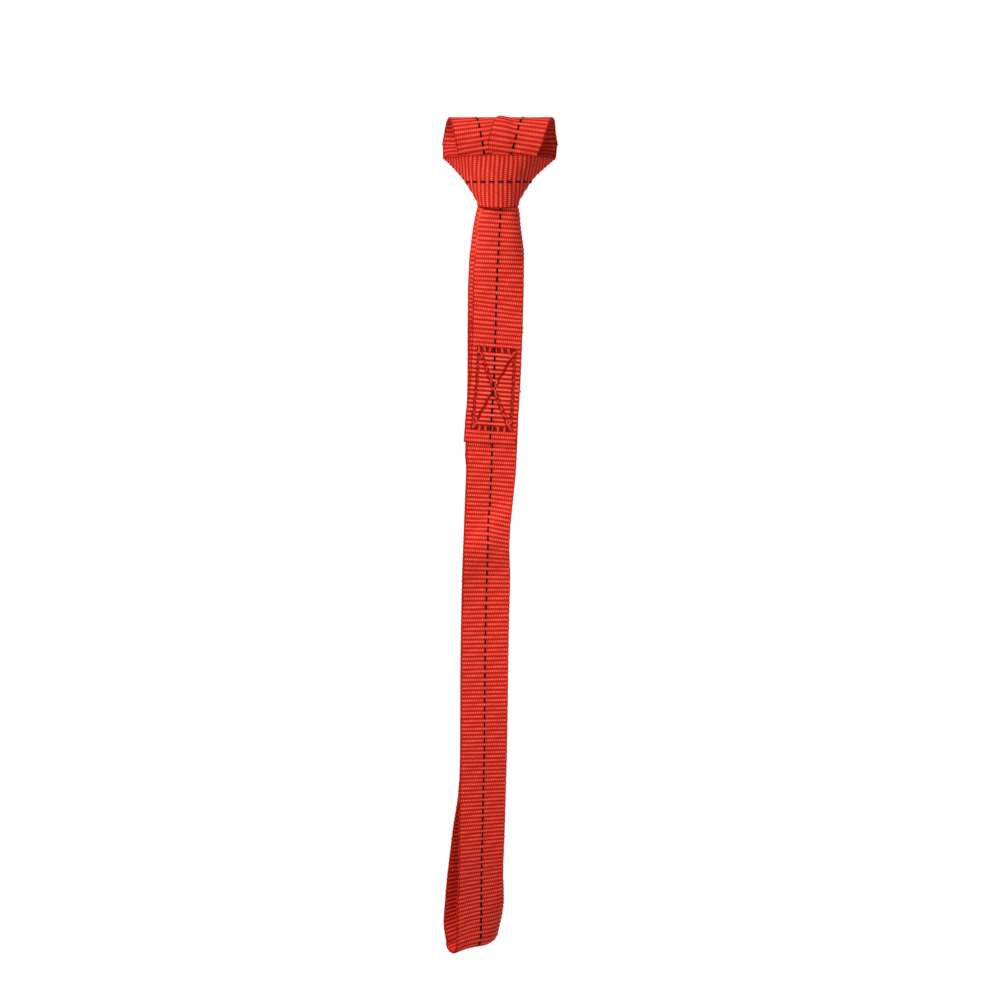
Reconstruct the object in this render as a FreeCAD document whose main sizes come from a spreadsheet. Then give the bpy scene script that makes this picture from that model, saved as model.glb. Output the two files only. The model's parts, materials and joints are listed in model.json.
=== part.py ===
import FreeCAD, Part
import os

import Sketcher
from FreeCAD import Placement, Rotation, Vector

# Flat endless webbing sling, choked on a horizontal bar and hanging straight down.
# Origin: middle of the hitch, on the bar's axis. X runs along the bar, -Y is the front, Z is up.
# One strip of webbing makes the whole sling. From the lap splice at the front it rises behind the
# collar, passes up over the bar, down behind it, folds into the collar, crosses the front, folds
# again, passes over the bar a second time and hangs down at the back to the eye.

doc = FreeCAD.newDocument("webbing_sling")
sizes = doc.addObject("Spreadsheet::Sheet", "Sizes")
rows_used = 0


def cell(alias, value):
    """Adds one driving dimension to the sheet and returns its name for an expression."""
    global rows_used
    rows_used += 1
    sizes.set(f"A{rows_used}", alias)
    sizes.set(f"B{rows_used}", str(value))
    sizes.setAlias(f"B{rows_used}", alias)
    return f"Sizes.{alias}"


# --- Driving dimensions, in millimetres and degrees ---
WIDTH = cell("webbing_width", 25.4)
THICK = cell("webbing_thickness", 1.3)
GAP = cell("ply_gap", 0.1)
YARN_WIDTH = cell("tracer_width", 0.9)
YARN_HEIGHT = cell("tracer_height", 0.25)
THREAD_WIDTH = cell("thread_width", 0.7)
THREAD_HEIGHT = cell("thread_height", 0.3)
CLEAR = cell("surface_clearance", 0.1)
SEAT_RADIUS = cell("bar_seat_radius", 8.6)
ROD_RADIUS = cell("hook_seat_radius", 3.5)

# The strip leaves the bar this many degrees below the level of its axis, at the back and front.
BACK_LEAVING = cell("back_leaving_angle", 20)
FRONT_LEAVING = cell("front_leaving_angle", 9.5)
WRAP_SIDE = cell("wrap_side", 11.4)
WRAP_TURN = cell("wrap_turn", 20)
LAP_SIDE = cell("wrap_lap_side", 5.0)

# The collar is widest at its top and tight at its bottom; its front leans back as it goes down.
COLLAR_MIDDLE_SIDE = cell("collar_middle_side", -0.5)
CHOKE_WIDTH = cell("choke_width", 15.6)
CHOKE_DROP = cell("choke_drop", 34.3)
NECK_END_WIDTH = cell("neck_end_width", 19.4)

STACK_FORWARD = cell("stack_forward", 4.0)
STAGGER = cell("ply_stagger", 0.9)
BOW = cell("front_leg_bow", 3.2)
TWIST_BACK = cell("twist_set_back", 9.5)
EYE_TILT = cell("hook_seat_tilt", 6)

BOX_STITCH_WIDTH = cell("box_stitch_width", 18.5)
TAIL_LENGTH = cell("thread_tail_length", 3.0)

# Levels down the hanging legs: drop below the bar's axis, sideways place of the stack, its yaw.
LEVELS = {
    "neck_end": (36.6, -0.5, 0),
    "leg_start": (39.4, -0.5, 0),
    "full_width": (57, -1.4, 3),
    "lap_bend": (84, -2.2, 7),
    "lap_start": (91, -2.4, 8),
    "stitch_top": (102, -2.8, 9),
    "stitch_middle": (121.5, -3.55, 11),
    "stitch_bottom": (141, -4.3, 13),
    "lap_end": (147.7, -4.6, 14),
    "upper_end": (151.1, -4.3, 16),
    "middle_start": (153.9, -4.4, 16),
    "twist_start": (157, -4.5, 17),
    "twist_sixth": (170, -4.8, 19),
    "twist_third": (180, -5.1, 21),
    "twist_half": (190, -5.6, 23),
    "twist_two_thirds": (200, -6.0, 24),
    "twist_five_sixths": (210, -6.4, 24),
    "twist_end": (223, -7.0, 24),
    "middle_end": (236.9, -7.3, 24),
    "lower_start": (237.3, -7.3, 24),
    "lower_end": (309.9, -8.3, 27),
    "eye_start": (312.7, -8.4, 27),
    "seat": (385.8, -13.9, 46),
}
for level, (drop, side, yaw) in LEVELS.items():
    cell(f"{level}_drop", drop)
    cell(f"{level}_side", side)
    cell(f"{level}_yaw", yaw)
doc.recompute()

PLY_PITCH = f"({THICK} + {GAP})"
HALF = f"{THICK} / 2"


def size(name):
    """The number that a sheet name holds, for code that can't take an expression."""
    return float(sizes.get(name.split(".")[1]))


# --- Shared builders ---
def place(x, y, z, yaw="0", pitch="0", roll="0"):
    """The expression of a placement: a point, then turns about Z, Y and X."""
    point = f"create(<<vector>>; {x}; {y}; {z})"
    turn = f"create(<<rotation>>; {yaw}; {pitch}; {roll})"
    return f"create(<<placement>>; {point}; {turn})"


def new_body(label):
    body = doc.addObject("PartDesign::Body", label)
    body.Label = label
    return body


def new_sketch(body, name, offset=None, role="XY_Plane"):
    """A sketch on one of its body's origin planes, moved off it by a placement expression."""
    sketch = body.newObject("Sketcher::SketchObject", name)
    plane = next(f for f in body.Origin.OriginFeatures if f.Role == role)
    sketch.AttachmentSupport = [(plane, "")]
    sketch.MapMode = "FlatFace"
    if offset:
        sketch.setExpression("AttachmentOffset", offset)
    return sketch


def add_outline(sketch, edges):
    """Edges that follow each other round, joined end to start. An arc is given as three points."""
    ends = []
    for points in edges:
        line_or_arc = Part.LineSegment if len(points) == 2 else Part.Arc
        sketch.addGeometry(line_or_arc(*points), False)
        bend = (points[1] - points[0]).cross(points[-1] - points[1]).z
        ends.append((2, 1) if bend < -1e-9 else (1, 2))
    for number in range(len(edges)):
        after = (number + 1) % len(edges)
        joint = Sketcher.Constraint("Coincident", number, ends[number][1], after, ends[after][0])
        sketch.addConstraint(joint)


def polygon(points):
    return [(points[i], points[(i + 1) % len(points)]) for i in range(len(points))]


def draw_rectangle(sketch, wide, high):
    """A rectangle centred on the sketch's origin, sized by two expressions."""
    corners = [Vector(-1, -1), Vector(1, -1), Vector(1, 1), Vector(-1, 1)]
    add_outline(sketch, polygon(corners))
    for side, rule in enumerate(("Horizontal", "Vertical", "Horizontal", "Vertical")):
        sketch.addConstraint(Sketcher.Constraint(rule, side))
    sketch.addConstraint(Sketcher.Constraint("Symmetric", 0, 1, 1, 2, -1, 1))
    across = sketch.addConstraint(Sketcher.Constraint("DistanceX", 0, 1, 0, 2, 2.0))
    along = sketch.addConstraint(Sketcher.Constraint("DistanceY", 1, 1, 1, 2, 2.0))
    sketch.setExpression(f"Constraints[{across}]", wide)
    sketch.setExpression(f"Constraints[{along}]", high)


def pad(body, sketch, length):
    """Pads a sketch by half the length to each side of its plane."""
    doc.recompute()
    feature = body.newObject("PartDesign::Pad", f"{body.Label}_pad")
    feature.Profile = sketch
    feature.Midplane = True
    feature.setExpression("Length", length)
    return body


def loft(label, sections):
    """A strap span in straight rulings. A section is a placement, a width and a height."""
    body = new_body(label)
    sketches = []
    for number, (offset, wide, high) in enumerate(sections):
        sketch = new_sketch(body, f"{label}_section_{number}", offset)
        draw_rectangle(sketch, wide, high)
        sketches.append(sketch)
    return ruled(body, sketches)


def ruled(body, sketches):
    doc.recompute()
    feature = body.newObject("PartDesign::AdditiveLoft", f"{body.Label}_loft")
    feature.Profile = sketches[0]
    feature.Sections = sketches[1:]
    feature.Ruled = True
    return body


def combine(kind, label, members):
    """Several objects as one: Part::Compound keeps them apart, Part::MultiFuse joins them."""
    result = doc.addObject(kind, label)
    result.Label = label
    if kind == "Part::Compound":
        result.Links = members
    else:
        result.Shapes = members
    return result


# --- Cross-sections of the hanging legs ---
def section(level, ply=0.0, ahead="0", turn="0", shift="0", back="0", wide=WIDTH, high=THICK):
    """ply counts layers forward of the stack's middle, and ahead is a distance in front of that
    layer. turn twists the layer about its own length, shift moves it along the stack's width,
    and back moves it away from the stack to the rear."""
    side, yaw = f"Sizes.{level}_side", f"Sizes.{level}_yaw"
    out = f"({ply} * {PLY_PITCH} - {back})"
    turned = f"({yaw} + {turn})"
    x = f"{side} + {out} * sin({yaw}) + ({ahead}) * sin({turned}) + {shift} * cos({yaw})"
    y = (
        f"-{STACK_FORWARD} - {out} * cos({yaw}) - ({ahead}) * cos({turned})"
        f" + {shift} * sin({yaw})"
    )
    return place(x, y, f"-Sizes.{level}_drop", turned), wide, high


def seat_frame(out, drop="0"):
    """A point in front of the hook seat's axis, in the seat's yawed and tilted frame."""
    yaw = "Sizes.seat_yaw"
    x = f"Sizes.seat_side + ({out}) * sin({yaw})"
    y = f"-{STACK_FORWARD} - ({out}) * cos({yaw})"
    return place(x, y, f"-Sizes.seat_drop - {drop}", yaw, f"-{EYE_TILT}")


FRONT_FACE = f"({HALF} + {CLEAR} + {YARN_HEIGHT} / 2)"
YARN = {"wide": YARN_WIDTH, "high": YARN_HEIGHT}
THREAD = {"wide": THREAD_WIDTH, "high": THREAD_HEIGHT}
THREAD_FACE = f"({HALF} + {CLEAR} + {THREAD_HEIGHT} / 2)"

FRONT_PLY, BACK_PLY, OUTER_PLY = 0.5, -0.5, 1.5
SPLICE_BACK_PLY = -0.8


# --- Hitch: the two turns over the bar ---
def bar_frame(start_x):
    """Turns a cylinder onto the bar's axis, its first face at the strip's leaving line behind."""
    onto_bar = Rotation(Vector(1, 0, 0), -size(BACK_LEAVING)) * Rotation(Vector(1, 1, 1), 120)
    return Placement(Vector(start_x, 0, 0), onto_bar)


def ring(name, inner, outer, start_x, end_x):
    """The sector of a ring on the bar from the back leaving line over the top to the front one."""
    discs = []
    for word, radius in (("outside", outer), ("inside", inner)):
        disc = doc.addObject("Part::Cylinder", f"{name}_{word}")
        disc.setExpression("Radius", radius)
        disc.Height = end_x - start_x
        disc.Placement = bar_frame(start_x)
        discs.append(disc)
    discs[0].setExpression("Angle", f"180 + {BACK_LEAVING} + {FRONT_LEAVING}")
    sector = doc.addObject("Part::Cut", name)
    sector.Base, sector.Tool = discs
    return sector


def trimmed(label, rings, hand, wide):
    """Cuts rings to one strap's slanted band. hand is 1 on the right and -1 on the left."""
    whole = rings[0] if len(rings) == 1 else combine("Part::MultiFuse", f"{label}_rings", rings)
    slant = Rotation(Vector(0, 0, 1), -hand * size(WRAP_TURN))
    depth = 60
    box = doc.addObject("Part::Box", f"{label}_band")
    box.setExpression("Length", f"{wide} * cos({WRAP_TURN})")
    box.Width, box.Height = depth, depth
    doc.recompute()
    corner = slant.multVec(Vector(-box.Length.Value / 2, -depth / 2, -depth / 2))
    box.Placement = Placement(corner + Vector(hand * size(WRAP_SIDE), 0, 0), slant)
    band = doc.addObject("Part::Common", label)
    band.Label = label
    band.Base, band.Tool = whole, box
    return band


LOW_OUTSIDE = f"{SEAT_RADIUS} + {THICK}"
HIGH_INSIDE = f"{SEAT_RADIUS} + {PLY_PITCH}"
HIGH_OUTSIDE = f"{HIGH_INSIDE} + {THICK}"
far_x, lap_x = 32, size(LAP_SIDE)
step_x = lap_x + size(THICK)

left_ring = ring("left_ring", SEAT_RADIUS, LOW_OUTSIDE, -far_x, far_x)
left_bar_wrap = trimmed("left_bar_wrap", [left_ring], -1, WIDTH)

# The right turn lies on the bar on its own side and steps up over the left turn in the middle.
right_rings = [
    ring("right_low_ring", SEAT_RADIUS, LOW_OUTSIDE, lap_x, far_x),
    ring("right_step_ring", SEAT_RADIUS, HIGH_OUTSIDE, lap_x, step_x),
    ring("right_high_ring", HIGH_INSIDE, HIGH_OUTSIDE, -far_x, step_x),
]
right_bar_wrap = trimmed("right_bar_wrap", right_rings, 1, WIDTH)


# --- Hitch: the necks, which run from the bar down through the collar ---
def bar_exit(hand, radius, wide=WIDTH, high=THICK):
    """The cross-section where a turn leaves the bar at the front, at a radius from its axis."""
    x = f"{hand} * ({WRAP_SIDE} - ({radius}) * cos({FRONT_LEAVING}) * tan({WRAP_TURN}))"
    y = f"-({radius}) * cos({FRONT_LEAVING})"
    z = f"-({radius}) * sin({FRONT_LEAVING})"
    return place(x, y, z, "0", "0", FRONT_LEAVING), wide, high


def choke_section(ply):
    """The cross-section inside the collar's tight end, on the line from the bar to the legs."""
    below, above = "Sizes.neck_end_drop", f"({SEAT_RADIUS} + {HALF}) * sin({FRONT_LEAVING})"
    share = f"({CHOKE_DROP} - {above}) / ({below} - {above})"
    start = f"(({SEAT_RADIUS} + {HALF}) * cos({FRONT_LEAVING}))"
    run = f"({start} + ({STACK_FORWARD} + {BACK_PLY} * {PLY_PITCH} - {start}) * {share})"
    y = f"-{run} - ({ply} - {BACK_PLY}) * {PLY_PITCH}"
    return place(COLLAR_MIDDLE_SIDE, y, f"-{CHOKE_DROP}"), CHOKE_WIDTH, THICK


neck_low_radius = f"{SEAT_RADIUS} + {HALF}"
neck_high_radius = f"{SEAT_RADIUS} + {PLY_PITCH} + {HALF}"
back_neck = loft(
    "back_neck",
    [
        bar_exit(-1, neck_low_radius),
        choke_section(BACK_PLY),
        section("neck_end", BACK_PLY, wide=NECK_END_WIDTH, shift=f"-{STAGGER}"),
    ],
)
front_neck = loft(
    "front_neck",
    [
        bar_exit(1, neck_high_radius),
        choke_section(FRONT_PLY),
        section("neck_end", FRONT_PLY, wide=NECK_END_WIDTH, shift=STAGGER),
    ],
)


# --- Hitch: the collar and the risers behind it ---
def draw_collar(sketch, half_width, bend, front, end):
    """The collar in plan: a band across the front that turns back round both sides. All are
    outside measures, front and end are places along Y, and bend is the corners' radius."""
    thick = size(THICK)
    outer = half_band(half_width, bend, front, end)
    inner = half_band(half_width - thick, bend - thick, front + thick, end)
    inside = [tuple(reversed(edge)) for edge in reversed(inner)]
    left_end = (outer[-1][-1], inside[0][0])
    right_end = (inside[-1][-1], outer[0][0])
    add_outline(sketch, outer + [left_end] + inside + [right_end])


def half_band(half_width, bend, front, end):
    """The U of one side of the band: right side, right corner, front, left corner, left side."""
    inset = bend * (1 - 0.5**0.5)
    edge = half_width - bend
    right_low, right_front = Vector(half_width, front + bend), Vector(edge, front)
    right_middle = Vector(half_width - inset, front + inset)
    left_low, left_front = Vector(-half_width, front + bend), Vector(-edge, front)
    left_middle = Vector(inset - half_width, front + inset)
    return [
        (Vector(half_width, end), right_low),
        (right_low, right_middle, right_front),
        (right_front, left_front),
        (left_front, left_middle, left_low),
        (left_low, Vector(-half_width, end)),
    ]


# Drop, sideways middle, half width, corner radius, front and rear end, from the top down.
collar_levels = [
    (9.0, 0.0, 27.3, 7.0, -11.5, 5.5),
    (20.5, -0.4, 15.6, 3.2, -9.7, 1.3),
    (33.8, -0.6, 9.6, 2.2, -7.5, -3.5),
]
choke_collar = new_body("choke_collar")
collar_sketches = []
for drop, side, half_width, bend, front, end in collar_levels:
    name = f"choke_collar_section_{len(collar_sketches)}"
    collar_sketch = new_sketch(choke_collar, name, place(side, 0, -drop))
    draw_collar(collar_sketch, half_width, bend, front, end)
    collar_sketches.append(collar_sketch)
ruled(choke_collar, collar_sketches)


def riser(label, hand):
    """The strip's flat run behind the bar, from the collar's fold up to its back leaving line."""
    body = new_body(label)
    middle = f"({SEAT_RADIUS} + {HALF})"
    y, z = f"{middle} * cos({BACK_LEAVING})", f"-{middle} * sin({BACK_LEAVING})"
    sketch = new_sketch(body, f"{label}_outline", place(0, y, z, "0", "0", f"90 - {BACK_LEAVING}"))
    inner_top, outer_top = hand * 1.9, hand * 27.2
    outline = [(inner_top, 0), (outer_top, 0), (hand * 27.2, -6.6), (hand * 15.4, -18.2)]
    outline += [(hand * 9.2, -30), (hand * 5.2, -30)]
    corners = [Vector(x, y) for x, y in outline]
    if hand < 0:
        corners.reverse()
    add_outline(sketch, polygon(corners))
    return pad(body, sketch, THICK)


right_riser = riser("right_riser", 1)
left_riser = riser("left_riser", -1)

# --- Hitch: the tracer yarn, over both turns, down the necks to the collar and across it ---
YARN_INSIDE = f"{LOW_OUTSIDE} + {CLEAR}"
YARN_OUTSIDE = f"{YARN_INSIDE} + {YARN_HEIGHT}"
hitch_yarns = []
for hand, name in ((-1, "left"), (1, "right")):
    yarn_ring = ring(f"{name}_yarn_ring", YARN_INSIDE, YARN_OUTSIDE, -far_x, far_x)
    hitch_yarns.append(trimmed(f"{name}_wrap_yarn", [yarn_ring], hand, YARN_WIDTH))

collar_yarn = doc.addObject("Part::Box", "collar_yarn")
collar_yarn.Length = 24
collar_yarn.setExpression("Width", YARN_HEIGHT)
collar_yarn.setExpression("Height", YARN_WIDTH)
collar_lean = Rotation(Vector(1, 0, 0), 9.5)
collar_yarn.Placement = Placement(Vector(-12.4, -9.85, -21.85), collar_lean)
hitch_tracer_yarn = combine("Part::Compound", "hitch_tracer_yarn", hitch_yarns + [collar_yarn])

# --- Upper legs, from the collar to just below the splice ---
front_upper_leg = loft(
    "front_upper_leg",
    [
        section("leg_start", FRONT_PLY, wide=f"{NECK_END_WIDTH} + 1", shift=STAGGER),
        section("full_width", FRONT_PLY, shift=STAGGER),
        section("lap_bend", FRONT_PLY, shift=f"{STAGGER} / 2"),
        section("lap_start", OUTER_PLY),
        section("lap_end", OUTER_PLY),
    ],
)
splice_inner_end = loft(
    "splice_inner_end",
    [
        section("lap_start", FRONT_PLY),
        section("lap_end", FRONT_PLY),
        section("upper_end", FRONT_PLY),
    ],
)
back_upper_leg = loft(
    "back_upper_leg",
    [
        section("leg_start", BACK_PLY, wide=f"{NECK_END_WIDTH} + 1", shift=f"-{STAGGER}"),
        section("full_width", BACK_PLY, shift=f"-{STAGGER}"),
        section("lap_start", SPLICE_BACK_PLY, shift=f"-{STAGGER} / 2"),
        section("lap_end", SPLICE_BACK_PLY),
        section("upper_end", BACK_PLY),
    ],
)

# --- Splice seam: needle thread on the outer ply, bobbin thread behind the inner ply ---
STITCH_EDGE = f"({BOX_STITCH_WIDTH} / 2)"


def thread_run(name, ply, face, top_shift, bottom_shift):
    """A run of thread down the seam, from its top level to its bottom level."""
    half_way = f"({top_shift} + {bottom_shift}) / 2"
    ends = {"stitch_top": top_shift, "stitch_middle": half_way, "stitch_bottom": bottom_shift}
    levels = ends.items()
    return loft(name, [section(at, ply, ahead=face, shift=off, **THREAD) for at, off in levels])


def thread_bar(name, level, ply, face):
    """A run of thread across the seam at one level, just inside the seam's end."""
    body = new_body(name)
    offset, _, high = section(level, ply, ahead=face, high=THREAD_HEIGHT)
    sketch = new_sketch(body, f"{name}_section", offset)
    draw_rectangle(sketch, f"{BOX_STITCH_WIDTH} + {THREAD_WIDTH}", high)
    return pad(body, sketch, THREAD_WIDTH)


def seam(side_name, ply, face):
    """The box outline and the cross of one thread. The cross stays inside the outline."""
    outline = [
        thread_run(f"{side_name}_left_run", ply, face, f"-{STITCH_EDGE}", f"-{STITCH_EDGE}"),
        thread_run(f"{side_name}_right_run", ply, face, STITCH_EDGE, STITCH_EDGE),
        thread_bar(f"{side_name}_top_bar", "stitch_top", ply, face),
        thread_bar(f"{side_name}_bottom_bar", "stitch_bottom", ply, face),
    ]
    inside = f"({STITCH_EDGE} - 1.2)"
    cross = [
        thread_run(f"{side_name}_falling_run", ply, face, f"-{inside}", inside),
        thread_run(f"{side_name}_rising_run", ply, face, inside, f"-{inside}"),
    ]
    return outline, cross


needle_outline, needle_cross = seam("needle", OUTER_PLY, THREAD_FACE)
bobbin_outline, bobbin_cross = seam("bobbin", FRONT_PLY, f"-{THREAD_FACE}")
box_stitch_thread = combine("Part::MultiFuse", "box_stitch_thread", needle_outline)
bobbin_box_thread = combine("Part::MultiFuse", "bobbin_box_thread", bobbin_outline)


def between_bars(label, runs):
    """The cross of a seam, cut short of the bars at the seam's two ends."""
    whole = combine("Part::MultiFuse", f"{label}_runs", runs)
    window = doc.addObject("Part::Box", f"{label}_window")
    window.Length, window.Width, window.Height = 60, 60, 37
    window.Placement = Placement(Vector(-30, -30, -140), Rotation())
    cross = doc.addObject("Part::Common", label)
    cross.Label = label
    cross.Base, cross.Tool = whole, window
    return cross


cross_stitch_thread = between_bars("cross_stitch_thread", needle_cross)
bobbin_cross_thread = between_bars("bobbin_cross_thread", bobbin_cross)

# The thread's loose tail lies out past the right edge of the outer ply.
thread_tail = doc.addObject("Part::Cylinder", "thread_tail")
thread_tail.Label = "thread_tail"
thread_tail.setExpression("Radius", f"{THREAD_HEIGHT} / 2")
thread_tail.setExpression("Height", TAIL_LENGTH)
thread_tail.Placement = Placement(Vector(9.5, -3.2, -119.5), Rotation(Vector(0, 1, 0), 100))


# --- Middle legs: the front leg bows forward round the half turn in the back leg ---
TWIST = {
    "middle_start": 0,
    "twist_start": 0,
    "twist_sixth": 30,
    "twist_third": 60,
    "twist_half": 90,
    "twist_two_thirds": 120,
    "twist_five_sixths": 150,
    "twist_end": 180,
    "middle_end": 180,
}


def bowed(level, extra="0", **shape):
    return section(level, FRONT_PLY, ahead=f"{BOW} * sin({TWIST[level]}) + {extra}", **shape)


def twisted(level, extra="0", **shape):
    turn = TWIST[level]
    back = f"{TWIST_BACK} * sin({turn})"
    return section(level, BACK_PLY, ahead=extra, turn=f"-{turn}", back=back, **shape)


front_middle_leg = loft("front_middle_leg", [bowed(level) for level in TWIST])
back_middle_leg = loft("back_middle_leg", [twisted(level) for level in TWIST])

# --- Lower legs ---
front_lower_leg = loft(
    "front_lower_leg", [section("lower_start", FRONT_PLY), section("lower_end", FRONT_PLY)]
)
back_lower_leg = loft(
    "back_lower_leg", [section("lower_start", BACK_PLY), section("lower_end", BACK_PLY)]
)

# --- Eye: both legs part round the hook's seat, and the bottom bight joins them ---
SEAT_PLY = f"{ROD_RADIUS} + {HALF}"
front_eye_leg = loft(
    "front_eye_leg",
    [section("eye_start", FRONT_PLY), (seat_frame(SEAT_PLY), WIDTH, THICK)],
)
back_eye_leg = loft(
    "back_eye_leg",
    [section("eye_start", BACK_PLY), (seat_frame(f"-({SEAT_PLY})"), WIDTH, THICK)],
)


def half_ring(label, inner, outer, length):
    """The lower half of a ring on the hook seat's axis."""
    body = new_body(label)
    body.setExpression("Placement", seat_frame("0"))
    sketch = new_sketch(body, f"{label}_section", role="YZ_Plane")
    edges = [
        (Vector(-outer, 0), Vector(0, -outer), Vector(outer, 0)),
        (Vector(outer, 0), Vector(inner, 0)),
        (Vector(inner, 0), Vector(0, -inner), Vector(-inner, 0)),
        (Vector(-inner, 0), Vector(-outer, 0)),
    ]
    add_outline(sketch, edges)
    return pad(body, sketch, length)


bight_outside = size(ROD_RADIUS) + size(THICK)
bottom_bight = half_ring("bottom_bight", size(ROD_RADIUS), bight_outside, WIDTH)

# --- Tracer yarn of each hanging body: in front of the front leg and behind the back leg. It is
# woven through, so where the back leg turns over it goes on along the other face. ---
REAR_FACE = f"-{FRONT_FACE}"
OVER_SEAM = f"{FRONT_FACE} + {THREAD_HEIGHT} + {CLEAR}"


def tracer(label, runs):
    """One node of yarn: each run is a list of sections in the yarn's own size."""
    spans = [loft(f"{label}_run_{number}", run) for number, run in enumerate(runs)]
    return combine("Part::Compound", label, spans)


upper_tracer_yarn = tracer(
    "upper_tracer_yarn",
    [
        [
            section("leg_start", FRONT_PLY, ahead=FRONT_FACE, shift=STAGGER, **YARN),
            section("full_width", FRONT_PLY, ahead=FRONT_FACE, shift=STAGGER, **YARN),
            section("lap_bend", FRONT_PLY, ahead=FRONT_FACE, shift=f"{STAGGER} / 2", **YARN),
            section("lap_start", OUTER_PLY, ahead=OVER_SEAM, **YARN),
            section("lap_end", OUTER_PLY, ahead=OVER_SEAM, **YARN),
        ],
        [
            section("leg_start", BACK_PLY, ahead=REAR_FACE, shift=f"-{STAGGER}", **YARN),
            section("full_width", BACK_PLY, ahead=REAR_FACE, shift=f"-{STAGGER}", **YARN),
            section("lap_start", SPLICE_BACK_PLY, ahead=REAR_FACE, shift=f"-{STAGGER} / 2", **YARN),
            section("lap_end", SPLICE_BACK_PLY, ahead=REAR_FACE, **YARN),
            section("upper_end", BACK_PLY, ahead=REAR_FACE, **YARN),
        ],
    ],
)
middle_tracer_yarn = tracer(
    "middle_tracer_yarn",
    [
        [bowed(level, FRONT_FACE, **YARN) for level in TWIST],
        [twisted(level, REAR_FACE, **YARN) for level, turn in TWIST.items() if turn <= 90],
        [twisted(level, FRONT_FACE, **YARN) for level, turn in TWIST.items() if turn >= 90],
    ],
)
lower_tracer_yarn = tracer(
    "lower_tracer_yarn",
    [
        [section(end, ply, ahead=face, **YARN) for end in ("lower_start", "lower_end")]
        for ply, face in ((FRONT_PLY, FRONT_FACE), (BACK_PLY, REAR_FACE))
    ],
)
SEAT_YARN = f"{SEAT_PLY} + {FRONT_FACE}"
eye_tracer_yarn = tracer(
    "eye_tracer_yarn",
    [
        [
            section("eye_start", FRONT_PLY, ahead=FRONT_FACE, **YARN),
            (seat_frame(SEAT_YARN), YARN_WIDTH, YARN_HEIGHT),
        ],
        [
            section("eye_start", BACK_PLY, ahead=REAR_FACE, **YARN),
            (seat_frame(f"-({SEAT_YARN})"), YARN_WIDTH, YARN_HEIGHT),
        ],
    ],
)

PARTS = [
    left_bar_wrap,
    right_bar_wrap,
    back_neck,
    front_neck,
    choke_collar,
    left_riser,
    right_riser,
    hitch_tracer_yarn,
    front_upper_leg,
    splice_inner_end,
    back_upper_leg,
    box_stitch_thread,
    cross_stitch_thread,
    bobbin_box_thread,
    bobbin_cross_thread,
    thread_tail,
    upper_tracer_yarn,
    front_middle_leg,
    back_middle_leg,
    middle_tracer_yarn,
    front_lower_leg,
    back_lower_leg,
    lower_tracer_yarn,
    front_eye_leg,
    back_eye_leg,
    bottom_bight,
    eye_tracer_yarn,
]

doc.recompute()
for item in doc.Objects:
    if {"Invalid", "Error"} & set(item.State):
        raise RuntimeError(f"{item.Name} failed: {item.State}")
for item in PARTS:
    if item.Shape.isNull() or not item.Shape.isValid():
        raise RuntimeError(f"{item.Label} has no valid shape")

os.makedirs("parts", exist_ok=True)
for item in PARTS:
    item.Shape.exportStep(f"parts/{item.Label}.step")
    print(f"{item.Label:22s} {len(item.Shape.Solids)} solids {item.Shape.Volume:9.1f} mm3")
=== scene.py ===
import json
import math

import bpy
import numpy as np
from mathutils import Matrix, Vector


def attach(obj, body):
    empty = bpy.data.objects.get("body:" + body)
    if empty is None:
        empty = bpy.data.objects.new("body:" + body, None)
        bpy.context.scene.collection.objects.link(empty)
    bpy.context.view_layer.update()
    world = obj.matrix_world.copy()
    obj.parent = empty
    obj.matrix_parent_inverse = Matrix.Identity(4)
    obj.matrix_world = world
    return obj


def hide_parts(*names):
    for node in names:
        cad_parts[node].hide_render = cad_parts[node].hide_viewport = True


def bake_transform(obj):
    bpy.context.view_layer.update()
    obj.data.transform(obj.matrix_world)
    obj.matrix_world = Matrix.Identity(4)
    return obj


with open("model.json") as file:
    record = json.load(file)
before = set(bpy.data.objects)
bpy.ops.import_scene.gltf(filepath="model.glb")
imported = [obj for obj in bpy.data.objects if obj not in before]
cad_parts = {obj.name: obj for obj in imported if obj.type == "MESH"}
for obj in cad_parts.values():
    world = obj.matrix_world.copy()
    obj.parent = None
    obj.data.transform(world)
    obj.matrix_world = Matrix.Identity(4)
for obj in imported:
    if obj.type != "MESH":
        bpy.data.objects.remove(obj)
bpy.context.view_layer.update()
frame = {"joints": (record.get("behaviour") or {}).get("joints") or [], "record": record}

mounts = {mount["name"]: mount for mount in frame["record"]["mounts"]}
hinges = {joint["name"]: joint["pos_m"] for joint in frame["joints"]}

# The row frame in millimetres: X along the bar, -Y towards the viewer, Z up, origin on the bar's axis.
# Each ply is a surface over two strip coordinates. The way counts along the strip from the top of
# the bar, positive down the front. The side counts across it, positive to the viewer's right.
MM = 0.001
WIDTH, THICK = 25.4, 1.3
HALF = WIDTH / 2
# From one ply's middle to the next one's.
PLY = THICK + 0.1
# The pitch of the ribs along the strip and of the beads across it, and the spacing of the meshes' rows.
RIB, YARN = 2.16, 0.977
ROW = RIB / 8
# The ribs stand RELIEF high on a body that is BODY thick either side of the middle.
RELIEF = 0.40
BODY = THICK / 2 - 0.22
# The radius of the strip's middle round the bar and round the hook's rod.
BAR_MID = mounts["bar_seat"]["dims"]["r_mm"] + THICK / 2
ROD_MID = mounts["hook_seat"]["dims"]["r_mm"] + THICK / 2
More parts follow.
